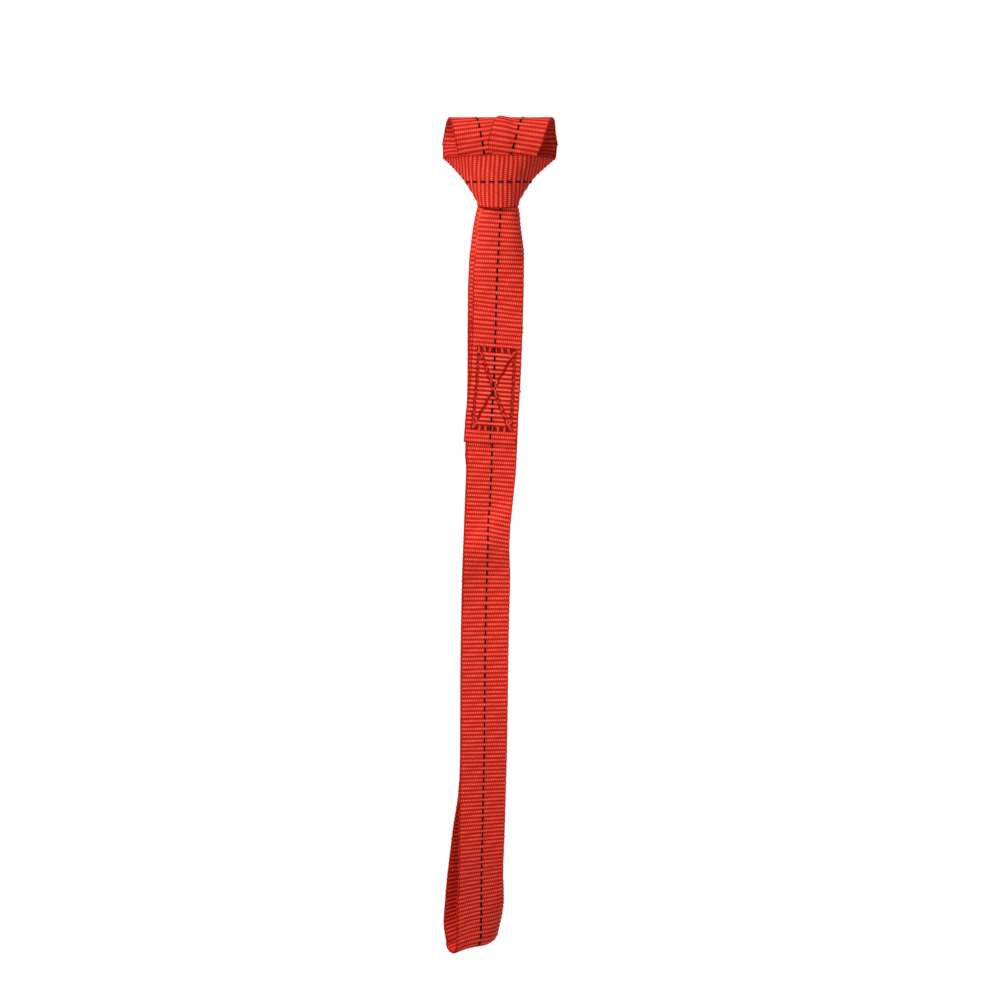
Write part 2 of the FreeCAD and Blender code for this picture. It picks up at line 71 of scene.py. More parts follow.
# How steeply the strip leaves the bar, in front and behind, and the ways there and at the neck's end.
FRONT_LEAVE, BACK_LEAVE = math.radians(9.5), math.radians(20)
FRONT_WAY = BAR_MID * (math.pi / 2 + FRONT_LEAVE)
BACK_WAY = -BAR_MID * (math.pi / 2 + BACK_LEAVE)
NECK_TOP = -BAR_MID * math.sin(FRONT_LEAVE)
NECK_END = -36.6
NECK_WAY = FRONT_WAY + (NECK_TOP - NECK_END) / math.cos(FRONT_LEAVE)
STACK_Y = hinges["choke_swing"][1] / MM
# The hook seat's middle, its turn and slope, and how fast its right half turns back.
SEAT = (-11.3, STACK_Y, mounts["hook_seat"]["pos_m"][2] / MM)
SEAT_YAW, SEAT_TILT, SEAT_CUP = math.radians(26), math.radians(6), 0.095
# How much further out and to the left the back ply comes round the rod.
SEAT_BULGE, SEAT_ASIDE = 1.0, 0.85


def track(*points):
    """A smooth curve through (place, value) points that doesn't overshoot between them."""
    xs, ys = np.array(sorted(points), float).T
    gap = np.diff(xs)
    rise = np.diff(ys) / gap
    slope = np.concatenate([rise[:1], np.zeros(len(xs) - 2), rise[-1:]])
    for i in range(1, len(xs) - 1):
        if rise[i - 1] * rise[i] > 0:
            a, b = 2 * gap[i] + gap[i - 1], gap[i] + 2 * gap[i - 1]
            slope[i] = (a + b) / (a / rise[i - 1] + b / rise[i])

    def value(x):
        x = np.clip(x, xs[0], xs[-1])
        i = np.clip(np.searchsorted(xs, x, side="right") - 1, 0, len(xs) - 2)
        t = (x - xs[i]) / gap[i]
        bump = t * (1 - t) * gap[i]
        return (
            ys[i] + (ys[i + 1] - ys[i]) * t * t * (3 - 2 * t)
            + bump * ((1 - t) * slope[i] - t * slope[i + 1])
        )

    return value


def ramp(x, low, high):
    """Rises smoothly from 0 at low to 1 at high."""
    t = np.clip((x - low) / (high - low), 0, 1)
    return t * t * (3 - 2 * t)


def height_of(way):
    """The level that a way down the front reaches."""
    neck = NECK_TOP - (way - FRONT_WAY) * math.cos(FRONT_LEAVE)
    return np.where(way < NECK_WAY, neck, NECK_END - (way - NECK_WAY))


def way_of(z):
    """The way at a level on the necks and legs."""
    if z > NECK_END:
        return FRONT_WAY + (NECK_TOP - z) / math.cos(FRONT_LEAVE)
    return NECK_WAY + NECK_END - z


def levels(*points):
    """Points given by level, as points along the way."""
    return [(way_of(z), value) for z, value in points]


# The ribs lie a little closer together lower down. This counts them from the top of the bar.
PITCHES = ((-100, 2.16), (-148, 2.09), (-190, 2.04), (-270, 2.06), (-300, 1.93), (-400, 1.88))
rib_marks = [(way / RIB, way) for way in (-60.0, way_of(PITCHES[0][0]))]
for (z0, _), (z1, pitch) in zip(PITCHES, PITCHES[1:]):
    rib_marks.append((rib_marks[-1][0] + (z0 - z1) / pitch, way_of(z1)))
way_at_rib = track(*rib_marks)
rib_at_way = track(*[(way, rib) for rib, way in rib_marks])

# --- Where each ply runs ---
right_x = track(
    (-17.8, 15.3), (0, 11.7), (16, 7.3),
    *levels((-8, 5.3), (-20, 2.7), (-34, 0.6), (-45, 0.0), (-57, -0.7), (-64, -1.2), (-80, -1.7),
            (-112, -2.75), (-130, -3.7), (-147.7, -4.9)),
)
left_x = track(
    (-17.8, -14.8), (0, -11.7), (16, -8.5),
    *levels((-8, -7.3), (-20, -4.2), (-34, -0.9), (-45, -1.4), (-57, -2.0), (-77, -2.7), (-92, -2.9),
            (-115, -3.0), (-148, -4.0)),
)
stack_x = track(
    *levels((-90, -2.3), (-112, -2.8), (-130, -3.3), (-148, -3.9), (-160, -4.3), (-170, -4.85),
            (-192, -5.9), (-216, -6.8), (-247, -7.5), (-281, -7.85), (-300, -8.1), (-315, -8.6),
            (-334, -9.4), (-358, -10.6), (-371, -10.75), (-385.8, -11.3)),
)
yaw_at = track(
    *levels((-36, 0), (-50, 0), (-57, 3), (-75, 6), (-100, 10), (-147, 14), (-165, 20), (-190, 23),
            (-216, 24), (-260, 25), (-300, 27.5), (-334, 29), (-355, 31), (-371, 26), (-385.8, 26)),
)
# How far the ribs drop to the right, in degrees.
rib_drop = track(
    (-17.8, 0), (0, 6), (13, 8),
    *levels((-8, 8.5), (-20, 5), (-34, 4), (-45, 4), (-57, 2), (-66, 2.3), (-77, 5.5), (-83, 7.5), (-90, 5),
            (-115, 4), (-140, 3.5), (-150, 3), (-165, 2.4), (-200, 2), (-230, -0.5), (-300, -0.7),
            (-320, -2), (-340, -4), (-358, -6), (-371, -7), (-385.8, -6)),
)
# How far the edges turn back where the collar gathers the necks, in degrees.
curl_right = track(
    *levels((-2, 0), (-7, 14), (-9, 30), (-12, 66), (-16, 92), (-20, 104), (-28, 108), (-34, 84), (-45, 66),
            (-57, 40), (-68, 18), (-84, 4)),
)
curl_left = track(
    *levels((-2, 0), (-7, 22), (-9, 42), (-12, 74), (-16, 92), (-20, 98), (-28, 92), (-34, 64), (-45, 37),
            (-57, 26), (-68, 18), (-84, 4), (-150, 6), (-158, 32),
            (-166, 62), (-175, 82), (-188, 75), (-198, 30), (-210, 0)),
)
# Where across the ply the edges start to turn, the share of its width it keeps, and how deep it tucks in.
curl_start = track(*levels((-5, 3.5), (-11, 0.5), (-28, 0.5), (-36, 3.5)))
gather = track((14, 1.03), *levels((-8, 1.02), (-20, 0.9), (-34, 0.9), (-45, 0.95), (-57, 1)))
tucked = track(*levels((-6, 0), (-11, 0.9), (-18, 1.5), (-27, 1.3), (-35, 0)))
# How far the plies stand apart in the eye: the front one forward, the back one back and to the left.
eye_out = track(*levels((-305, 0), (-318, 0.35), (-334, 1.05), (-350, 1.9), (-371, 2.95), (-385.8, 3.45)))
eye_back = track(
    *levels((-308, 0), (-318, 0.6), (-326, 2.0), (-334, 3.4), (-350, 4.9), (-365, 6.3), (-375, 6.7),
            (-385.8, 4.45)),
)
eye_aside = track(*levels((-320, 0), (-334, 0.3), (-350, 0.7), (-365, 1.2), (-375, 1.7), (-385.8, 0.85)))
# How much the right halves of the plies turn back round the hook's bend, in radians a millimetre.
front_cup = track(*levels((-345, 0), (-360, 0.012), (-371, 0.035), (-380, 0.07), (-385.8, 0.095)))
back_cup = track(*levels((-345, 0), (-371, 0.04), (-385.8, 0.095)))
# How far right the back ply slips as it starts to turn over.
shifted = track(*levels((-154, 0), (-163, 0.5), (-170, 0.6), (-180, 0.3), (-190, 0)))


def twist_at(z):
    """How far the back ply has turned over, in radians."""
    return math.pi * ramp(-z, 157, 223)


def bar_guide(way):
    """The inner turn's middle surface seen along the bar: down the back, over and down the front."""
    way = np.asarray(way, float)
    angle = np.clip(way, BACK_WAY, FRONT_WAY) / BAR_MID
    y, z = -BAR_MID * np.sin(angle), BAR_MID * np.cos(angle)
    ny, nz = -np.sin(angle), np.cos(angle)
    below, behind = np.maximum(way - FRONT_WAY, 0), np.maximum(BACK_WAY - way, 0)
    y = y + below * math.sin(FRONT_LEAVE) - behind * math.sin(BACK_LEAVE)
    z = z - below * math.cos(FRONT_LEAVE) - behind * math.cos(BACK_LEAVE)
    return y, z, ny, nz


def edge_turned(side, way):
    """Across the ply at the gather: the width and depth that a side reaches when its edges turn back."""
    steps = 24
    across, deep = np.zeros(np.broadcast(side, way).shape), np.zeros(np.broadcast(side, way).shape)
    reach = np.abs(side) / steps
    most = np.radians(np.where(side > 0, curl_right(way), curl_left(way)))
    for i in range(steps):
        turn = most * ramp((i + 0.5) * reach, curl_start(way), HALF)
        across = across + np.cos(turn) * reach
        deep = deep + np.sin(turn) * reach
    return np.sign(side) * across * gather(way), deep


def neck(hand, way, side):
    """A turn over the bar and its neck. hand is 1 for the right turn and -1 for the left one."""
    drop = np.radians(rib_drop(way)) * (hand + (1 - hand) * ramp(way, NECK_WAY - 25, NECK_WAY - 8))
    across, deep = edge_turned(side, way)
    if hand > 0:
        spread = np.where(side > 0, 0.1 * (1 - ramp(way, 14, 26)), -0.08 * (1 - ramp(way, 0, 14)))
        across = across * (1 + spread * ramp(way, -15, -2))
    here = way + across * np.sin(drop)
    x = (right_x if hand > 0 else left_x)(here) + across * np.cos(drop)
    y, z, ny, nz = bar_guide(here)
    lift = np.zeros_like(x)
    if hand > 0:
        edge = 1.0 + 0.2 * here
        over = (1 - ramp(x, edge - 1.5, edge + 5)) * ramp(here, -9, 9)
        lift = PLY * np.maximum(over, ramp(here, FRONT_WAY - 2, FRONT_WAY + 14))
    return x, y + ny * lift + deep + tucked(way), z + nz * lift


# Where across the front ply the crease lies.
crease_side = track(*levels((-164, 14), (-170, 11), (-188, -0.5), (-200, -6.5), (-215, -11)))


def push(way, side):
    """How far the turning back ply pushes the front ply forward, first its right half and then its left."""
    z = height_of(way)
    right = 5.2 * ramp(-z, 163, 187) * (1 - ramp(-z, 192, 213))
    left = 3.7 * ramp(-z, 184, 203) * (1 - ramp(-z, 206, 233))
    centre = crease_side(way)
    return left + (right - left) * ramp(side, centre - 7, centre + 7)


def outward(ply, way, side):
    """How far in front of the stack's middle a ply lies."""
    z = height_of(way)
    if ply == "outer":
        return PLY * (0.5 + ramp(-z, 83.5, 91))
    if ply == "inner":
        return PLY / 2 + push(way, side) + eye_out(way)
    return -PLY / 2 - 10.3 * np.sin(twist_at(z)) - eye_back(way)


def cupped(side, heading, cup):
    """A section's plan: straight to the left, and to the right turning by cup a millimetre."""
    turned = np.maximum(cup * side, 0)
    bent = np.abs(turned) > 1e-5
    cup = np.where(bent, cup, 1.0)
    x = np.where(bent, (np.sin(heading + turned) - np.sin(heading)) / cup, side * np.cos(heading))
    y = np.where(bent, (np.cos(heading) - np.cos(heading + turned)) / cup, side * np.sin(heading))
    return x, y


def seat_dip(side):
    """How the ribs sag at the left edge and rise at the right one by the hook seat."""
    return -1.9 * np.clip(-side / HALF, 0, 1) ** 2 + 1.6 * np.clip(side / HALF, 0, 1) ** 2


def leg(ply, way, side):
    """A hanging ply: "outer" down to the splice's raw end, "inner" from the splice down, or "back".

    Each ramp of -z runs between two levels, counted down from the bar's axis.
    """
    z = height_of(way)
    yaw = np.radians(yaw_at(way))
    turn = twist_at(z) if ply == "back" else np.zeros_like(z)
    drop = np.radians(rib_drop(way))
    if ply == "back":
        drop = drop * np.cos(turn)
    out = outward(ply, way, side)
    across, deep = edge_turned(side, way) if ply != "inner" else (side, np.zeros_like(side))
    if ply == "outer":
        lapped = ramp(-z, 40, 55) * np.where(side < 0, -0.11 * (1 - ramp(-z, 112, 138)), 0.06)
        x, across, facing = right_x(way), across * (1 + lapped), yaw
    elif ply == "back":
        low = ramp(-z, 120, 150)
        across = across * (1 - 0.05 * ramp(-z, 152, 165) * (1 - ramp(-z, 300, 335)))
        facing = yaw + np.maximum(-back_cup(way) * across, 0) * ramp(-z, 250, 300)
        x = left_x(way) * (1 - low) + (stack_x(way) + out * np.sin(facing)) * low
        x = x + shifted(way) - eye_aside(way)
    else:
        facing = yaw + np.maximum(front_cup(way) * side, 0)
        x = stack_x(way) + (PLY / 2 + eye_out(way)) * np.sin(facing)
        narrower = ramp(-z, 160, 190) * (1 - ramp(-z, 192, 216))
        across = across * np.where(side > 0, 1 - 0.1 * narrower, 1)
    heading = yaw - turn
    flat = across * np.cos(drop)
    cup = back_cup(way) * -ramp(-z, 250, 300) if ply == "back" else front_cup(way)
    plan_x, plan_y = cupped(flat, heading, cup)
    x = x + plan_x - deep * np.sin(heading)
    y = STACK_Y - out * np.cos(facing) + plan_y + deep * np.cos(heading)
    lateral = -side if ply == "back" else side
    dip = seat_dip(lateral) * ramp(-z, 350, -SEAT[2])
    if ply == "inner":
        dip = dip - 0.12 * np.maximum(side, 0) * ramp(-z, 161, 178) * (1 - ramp(-z, 190, 210))
    return x, y, z - across * np.sin(drop) + dip


def strand(ply, way, side):
    """One ply from behind the bar, over it and all the way down to the hook seat."""
    hand = -1 if ply == "back" else 1
    upper, lower = neck(hand, way, side), leg(ply, way, side)
    share = ramp(way, NECK_WAY - 9, NECK_WAY - 1)
    return np.stack([u * (1 - share) + v * share for u, v in zip(upper, lower)], axis=-1)


SEAT_WAY = way_of(SEAT[2])


def lower_strand(ply, way, side):
    """A ply below the splice, and then round the hook seat to the lowest line of the bight."""
    face = 1 if ply == "inner" else -1
    above = strand(ply, np.minimum(way, SEAT_WAY), side)
    angle = np.maximum(way - SEAT_WAY, 0) / ROD_MID
    lateral = face * side
    plan_x, plan_y = cupped(lateral * math.cos(SEAT_TILT), SEAT_YAW, SEAT_CUP)
    heading = SEAT_YAW + np.maximum(SEAT_CUP * lateral, 0)
    behind = 0.0 if ply == "inner" else 1.0
    reach = (ROD_MID + SEAT_BULGE * behind * np.cos(angle)) * face * np.cos(angle)
    round_rod = np.stack([
        SEAT[0] + plan_x + reach * np.sin(heading) - SEAT_ASIDE * behind * np.cos(angle),
        SEAT[1] + plan_y - reach * np.cos(heading),
        SEAT[2] + lateral * math.sin(SEAT_TILT) + seat_dip(lateral) - ROD_MID * np.sin(angle),
    ], axis=-1)
    return np.where((way <= SEAT_WAY)[..., None], above, round_rod)


# --- The collar and its two risers: one run of strip from the back of one turn to the other ---
collar_outline = track(
    (-33.9, 9.45), (-31.1, 9.75), (-28.2, 11.1), (-25.3, 12.8), (-22.4, 14.7), (-19.5, 16.7),
    (-16.6, 19.3), (-13.7, 22.2), (-10.8, 25.4), (-9.2, 27.4),
)
# The way from the collar's middle to the end of a riser.
COLLAR_LENGTH = 41.0
# The level of the collar's top edge, its height, how far forward its top stands and how far it leans back.
COLLAR_TOP, COLLAR_DROP = -9.2, 23.9
COLLAR_FRONT, COLLAR_LEAN = -11.5, 4.1
# The level where a riser meets the bar, and its drop for each millimetre of its length.
RISER_TOP, RISER_SLOPE = -3.16, 0.94


def collar(way, side):
    """way counts from the collar's middle, positive to the right. side is positive upwards."""
    hand = np.sign(way)
    s = np.abs(way)
    v = side / HALF
    down = (1 - v) / 2
    front = COLLAR_FRONT + COLLAR_LEAN * down
    edge_z = COLLAR_TOP - COLLAR_DROP * down
    reach = collar_outline(edge_z)
    fold = reach * (1.2 - 0.035 * v + 0.135 * v * v)
    t = np.clip(s / fold, 0, 1)
    steps = 24
    total_x, total_y, here_x, here_y = 0, 0, 0, 0
    for i in range(steps):
        at = (i + 0.5) / steps
        even, high, low = 0.96 * at, 0.12 + 0.86 * ramp(at, 0.25, 0.65), 1.24 * at
        turn = np.where(v > 0, even + (high - even) * v, even + (even - low) * v)
        part = np.clip(t * steps - i, 0, 1)
        total_x, total_y = total_x + np.cos(turn), total_y + np.sin(turn)
        here_x, here_y = here_x + part * np.cos(turn), here_y + part * np.sin(turn)
    riser_y, _, _, _ = bar_guide(BACK_WAY - (RISER_TOP - edge_z) / RISER_SLOPE)
    belly = 1.5 * ramp(-edge_z, 20, 33)
    fold_y = riser_y + belly - 1.9
    x = reach * here_x / total_x
    y = front + (fold_y - front) * here_y / total_y
    top, bottom = -8.55 - 0.65 * t * t, -34.4 + 1.3 * t * t
    z = top + (bottom - top) * down
    # Past the fold the strip runs up the back to the bar.
    climb = np.clip((s - fold) / (COLLAR_LENGTH - fold), 0, None)
    length = (RISER_TOP - edge_z) / math.cos(BACK_LEAVE)
    back_way = BACK_WAY - length * (1 - climb)
    centre = np.where(hand > 0, right_x(back_way), -left_x(back_way))
    high_x = centre + side
    share = np.clip(climb, 0, 1)
    back_y, back_z, _, _ = bar_guide(back_way)
    back_x = reach + (high_x - reach) * share
    back_y = back_y + belly * (1 - share)
    folded = s > fold
    x, y, z = np.where(folded, back_x, x), np.where(folded, back_y, y), np.where(folded, back_z, z)
    x = np.where(hand > 0, x, -x)
    x = x - 0.75 * ramp(down, 0.0, 0.5)
    return np.stack([x, y, z], axis=-1)


# --- Meshes: ribs of beaded yarn on both faces, rounded selvedges ---
# The columns of a mesh across the strip, close together at its selvedges.
EDGE = (12.5, 12.62, HALF)
COLUMNS = np.concatenate([[-e for e in EDGE[::-1]], np.linspace(-12.35, 12.35, 103), EDGE])


def ribs(way, side, face, phase=0.0, smooth=0.0):
    """Height of the weave from 0 in a groove to 1 on top of a bead. face is 0 in front, 1 behind."""
    place = rib_at_way(way) + face + phase
    rib = np.floor(place)
    arch = (0.5 - 0.5 * np.cos(2 * np.pi * (place - rib))) ** 0.55
    bead = np.abs(np.sin(np.pi * (side / YARN + 0.5 * np.mod(rib, 2) + 0.15 * np.sin(1.7 * rib)))) ** 0.85
    bead = bead + (0.9 - bead) * 0.75 * smooth
    uneven = 1 + 0.06 * np.sin(2.3 * rib + 0.35 * side) + 0.05 * np.sin(5.1 * rib - 0.6 * side)
    return np.clip(arch * (0.27 + 0.73 * bead) * uneven, 0, 1.1)


def thickness_at(side):
    """The share of the full thickness left at the rounded selvedges."""
    beyond = np.clip((np.abs(side) - 12.05) / (HALF - 12.05), 0, 1)
    return np.sqrt(1 - beyond**2)


def normals(surface, way, side):
    """The unit normals of a surface, out of its front face."""
    along = surface(way + 0.3, side) - surface(way - 0.3, side)
    across = surface(way, side + 0.15) - surface(way, side - 0.15)
    normal = np.cross(along, across)
    return normal / np.linalg.norm(normal, axis=-1, keepdims=True)


def make_mesh(name, points, faces, crest_shading=None):
    """An object from points in millimetres. The last argument is the weave's height less its painted shade,
    which the material turns into painted shade and a painted highlight.
    """
    mesh = bpy.data.meshes.new(name)
    mesh.from_pydata((points * MM).tolist(), [], faces)
    mesh.shade_smooth()
    if crest_shading is not None:
        mesh.attributes.new("crest_shading", "FLOAT", "POINT").data.foreach_set("value", crest_shading.astype(np.float32))
    obj = bpy.data.objects.new(name, mesh)
    bpy.context.collection.objects.link(obj)
    return obj


def strip(name, surface, start, end, pinch=None, phase=0.0):
    """A length of webbing as one closed mesh."""
    ways = np.linspace(start, end, round((end - start) / ROW) + 1)
    way, side = np.meshgrid(ways, COLUMNS, indexing="ij")
    scallop = 0.13 * np.sign(side) * (ribs(way, side, 0, phase) - 0.5) * ramp(np.abs(side), 11.6, 12.6)
    middle, normal = surface(way, side + scallop), normals(surface, way, side)
    sunk, flat, puffed = pinch(way, side) if pinch else (0, 0, 0)
    front, back = ribs(way, side, 0, phase, puffed) * (1 - flat), ribs(way, side, 1, phase)
    edge = thickness_at(side)
    ahead = edge * (BODY + RELIEF * front * (1 + 0.45 * puffed)) - sunk
    behind = edge * (BODY + RELIEF * back)
    outer = middle + normal * ahead[..., None]
    inner = middle - normal * behind[..., None]
    ring = np.concatenate([outer, inner[:, -2:0:-1]], axis=1)
    # Painted shade at both selvedges: the crests are painted darker where the rounded edges turn away from
    # the light.
    shade_level = 0.5 * ramp(np.abs(side), 11.8, 12.4)
    # Painted shade in the seams' pulled-in hollows and in the grooves of the puffed-up box.
    shaded = 0.25 * flat + 0.3 * puffed * (1 - front) ** 2
    crest_shading = np.concatenate([front - shaded - shade_level, (back - shade_level)[:, -2:0:-1]], axis=1)
    rows, count = ring.shape[:2]
    index = np.arange(rows * count).reshape(rows, count)
    right = np.roll(index, -1, axis=1)
    skin = np.stack([index[:-1], index[1:], right[1:], right[:-1]], axis=-1).reshape(-1, 4)
    last = len(COLUMNS) - 1
    caps = []
    for row, order in ((0, 1), (rows - 1, -1)):
        i = index[row]
        for j in range(last):
            below, next_below = (count - j) % count, (count - j - 1) % count
            cap = [i[j], i[j + 1], i[next_below], i[below]]
            caps.append([int(c) for c in dict.fromkeys(cap[::order])])
    return make_mesh(name, ring.reshape(-1, 3), skin.tolist() + caps, crest_shading.reshape(-1))


def spots(name, surface, marks):
    """Small pods of yarn on the webbing.

    A mark is (way, side, half length, half width, height, lift, heading).
    """
    turns, rings = 10, 8
    polar = np.linspace(0, np.pi, rings + 1)
    round_ = np.linspace(0, 2 * np.pi, turns, endpoint=False)
    along = np.cos(polar)[:, None] * np.ones(turns)
    girth = np.sin(polar)[:, None] ** 0.6
    across, high = girth * np.cos(round_), girth * np.sin(round_)
    marks = np.array(marks, float)
    way, side, length, width, height, lift, heading = (m[:, None, None] for m in marks.T)
    a, b = along * length, across * width
    ways = way + a * np.cos(heading) - b * np.sin(heading)
    sides = side + a * np.sin(heading) + b * np.cos(heading)
    up = lift + high * height * np.sign(lift)
    points = surface(ways, sides) + normals(surface, ways, sides) * up[..., None]
    index = np.arange(len(marks) * (rings + 1) * turns).reshape(len(marks), rings + 1, turns)
    right = np.roll(index, -1, axis=2)
    faces = np.stack([index[:, :-1], index[:, 1:], right[:, 1:], right[:, :-1]], axis=-1)
    return make_mesh(name, points.reshape(-1, 3), faces.reshape(-1, 4).tolist())


# A tracer dash's half length, half width and height.
DASH = (1.4, 0.55, 0.3)


def tracer(name, surface, start, end, pinch=None, phase=0.0):
    """The tracer yarn's dashes on both faces of a length of webbing, one on every second rib."""
    marks = []
    for face in (0, 1):
        for rib in range(-40, 240, 2):
            middle = float(way_at_rib(rib + 0.5 - face - phase))
            if start + 0.9 < middle < end - 0.9:
                raised = 0.17 * float(pinch(middle, 0.0)[2]) if pinch and face == 0 else 0.0
                lift = (BODY + 0.27 + raised) * (1 - 2 * face)
                marks.append((middle, 0.0, *DASH, lift, 0.0))
    return spots(name, surface, marks)


# --- The splice's stitching: a box with a cross in it ---
TOP, BOTTOM = way_of(-102.6), way_of(-140.6)
LEFT, RIGHT = -8.8, 9.4
BOX_STEPS = 12
CROSS_TOP, CROSS_BOTTOM = TOP + 1.8, BOTTOM - 2.2


def run(a, b, step):
    """Stitches of one line from a to b as (way, side, half length, heading)."""
    (way0, side0), (way1, side1) = a, b
    length = math.hypot(way1 - way0, side1 - side0)
    count = max(1, round(length / step))
    heading = math.atan2(side1 - side0, way1 - way0)
    return [
        (
            way0 + (way1 - way0) * (i + 0.5) / count,
            side0 + (side1 - side0) * (i + 0.5) / count,
            0.46 * length / count,
            heading,
        )
        for i in range(count)
    ]


def zigzag(a, b, steps, sway):
    """A line from a to b that sways to either side, as the runs between its corners."""
    corners = []
    for i in range(steps + 1):
        way = a[0] + (b[0] - a[0]) * i / steps
        side = a[1] + (b[1] - a[1]) * i / steps
        corners.append((way, side + (sway if i % 2 else -sway)))
    return list(zip(corners, corners[1:]))


SIDE_RUNS = (
    zigzag((TOP, LEFT), (BOTTOM, LEFT), BOX_STEPS, 0.25)
    + zigzag((TOP, RIGHT), (BOTTOM, RIGHT), BOX_STEPS, 0.25)
)
# One diagonal is sewn twice, as a chain, and the other once.
CROSS_RUNS = (
    zigzag((CROSS_TOP, LEFT + 1.2), (CROSS_BOTTOM, RIGHT - 1.4), BOX_STEPS, 0.6)
    + zigzag((CROSS_TOP, LEFT + 1.2), (CROSS_BOTTOM, RIGHT - 1.4), BOX_STEPS, -0.6)
    + zigzag((CROSS_TOP, RIGHT - 0.6), (CROSS_BOTTOM, LEFT + 1.0), BOX_STEPS, 0.25)
)
END_RUNS = [((TOP, LEFT), (TOP, RIGHT)), ((BOTTOM, LEFT), (BOTTOM, RIGHT))]


def from_line(way, side, line):
    """The distance of a place on the strip from a line between two others."""
    (a, b), (c, d) = line
    along = np.clip(((way - a) * (c - a) + (side - b) * (d - b)) / ((c - a) ** 2 + (d - b) ** 2), 0, 1)
    return np.hypot(way - a - along * (c - a), side - b - along * (d - b))


def stitched(way, side):
    """How deep the seam pulls the outer ply in, how flat the ribs are there, and where they puff up.
    strip() paints shade where the ribs are flat and in the grooves where they puff up.
    """
    sunk, flat = np.zeros_like(way), np.zeros_like(way)
    # Each seam's lines, depth, reach and how far it flattens the ribs and paints them with shade.
    seams = ((SIDE_RUNS, 0.5, 0.6, 0.9), (CROSS_RUNS, 0.4, 0.55, 0.75), (END_RUNS, 0.75, 0.95, 1.0))
    for lines, deep, wide, shade_level in seams:
        for line in lines:
            near = np.exp(-((from_line(way, side, line) / wide) ** 2))
            sunk, flat = np.maximum(sunk, deep * near), np.maximum(flat, shade_level * near)
    puffed = ramp(way, TOP - 1, TOP + 3) * (1 - ramp(way, BOTTOM - 3, BOTTOM + 1))
    return sunk, flat, puffed


def front_edge(way, side):
    return strand("outer", way, side)


def front_inner(way, side):
    return lower_strand("inner", way, side)


def back_strand(way, side):
    return lower_strand("back", way, side)


def left_turn(way, side):
    return strand("back", way, side)


# --- Materials ---
def material(name, roughness):
    """A new material and its shader."""
    made = bpy.data.materials.new(name)
    made.use_nodes = True
    shader = made.node_tree.nodes["Principled BSDF"]
    shader.inputs["Roughness"].default_value = roughness
    shader.inputs["IOR"].default_value = 1.2
    return made, shader


def webbing_material():
    """Red yarn with painted shade in the grooves of the weave and a painted highlight on its crests, driven
    by the weave's height less the painted shade that strip() stores.
    """
    made, shader = material("red_webbing", 0.6)
    nodes, links = made.node_tree.nodes, made.node_tree.links
    crest_shading = nodes.new("ShaderNodeAttribute")
    crest_shading.attribute_name = "crest_shading"
    place = nodes.new("ShaderNodeTexCoord")
    noise = nodes.new("ShaderNodeTexNoise")
    noise.inputs["Scale"].default_value = 900
    noise.inputs["Detail"].default_value = 2
    mixed = nodes.new("ShaderNodeMath")
    mixed.operation = "MULTIPLY_ADD"
    mixed.inputs[1].default_value = 0.22
    links.new(place.outputs["Object"], noise.inputs["Vector"])
    links.new(noise.outputs["Fac"], mixed.inputs[0])
    links.new(crest_shading.outputs["Fac"], mixed.inputs[2])
    # The ramp's two lowest stops are painted shade in the grooves and its pale pink top stop is a painted
    # highlight on the crests; the red between is the yarn's own colour, and the noise is its random tone.
    colour = nodes.new("ShaderNodeValToRGB")
    stops = colour.color_ramp
    stops.elements[0].position, stops.elements[0].color = 0.0, (0.30, 0.006, 0.003, 1)
    stops.elements[1].position, stops.elements[1].color = 1.0, (1.0, 0.13, 0.085, 1)
    for position, tint in ((0.12, (0.44, 0.008, 0.003, 1)), (0.62, (0.76, 0.024, 0.009, 1))):
        stops.elements.new(position).color = tint
    links.new(mixed.outputs["Value"], colour.inputs["Fac"])
    links.new(colour.outputs["Color"], shader.inputs["Base Color"])
    return made


WEBBING = webbing_material()
TRACER, tracer_shader = material("tracer_yarn", 0.6)
tracer_shader.inputs["Base Color"].default_value = (0.012, 0.003, 0.004, 1)
THREAD, thread_shader = material("stitch_thread", 0.45)
thread_shader.inputs["Base Color"].default_value = (0.80, 0.06, 0.035, 1)


# The back ply's ribs lie half a rib out of step with the front ply's.
BACK_PHASE = 0.5


def level(z):
    """A point on the stack's middle line at a level, in metres."""
    return (float(stack_x(way_of(z))) * MM, STACK_Y * MM, z * MM)


# Where the webbing bends or twists between two bodies, from one place to another.
# A bend starts at its hinge, and the twist lies around its own.
UPPER = ("hitch", "upper_legs", tuple(hinges["choke_swing"]), (0, STACK_Y * MM, -0.064))
MIDDLE = ("upper_legs", "middle_legs", level(hinges["splice_bend"][2] / MM), level(-178))
LOWER = ("middle_legs", "lower_legs", level(-202), level(-272))
EYE = ("lower_legs", "eye", level(hinges["eye_bend"][2] / MM), level(-340))


def finished(obj, coat, slot, moves, *nodes):
    """Gives a piece its material, attaches it to its body or leaves a piece on a bend where it is, and
    hides the nodes it stands for. slot is not used.
    """
    obj.data.materials.append(coat)
    if isinstance(moves, str):
        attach(obj, moves)
    else:
        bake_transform(obj)
    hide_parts(*nodes)
    return obj


def groove_near(z, phase=0.0):
    """The way of the groove nearest to a level, so that a join hides in it."""
    return float(way_at_rib(round(float(rib_at_way(way_of(z))) + phase) - phase))


JOIN_HITCH, BACK_JOIN_HITCH = groove_near(-25), groove_near(-25, BACK_PHASE)
BACK_JOIN_UPPER = groove_near(-95, BACK_PHASE)
RAW_END = way_of(-147.7)
HIDDEN_END = way_of(-90.5)
JOIN_MIDDLE, BACK_JOIN_MIDDLE = groove_near(-186), groove_near(-186, BACK_PHASE)
JOIN_LOWER, BACK_JOIN_LOWER = groove_near(-280), groove_near(-280, BACK_PHASE)
LOWEST = SEAT_WAY + ROD_MID * math.pi / 2

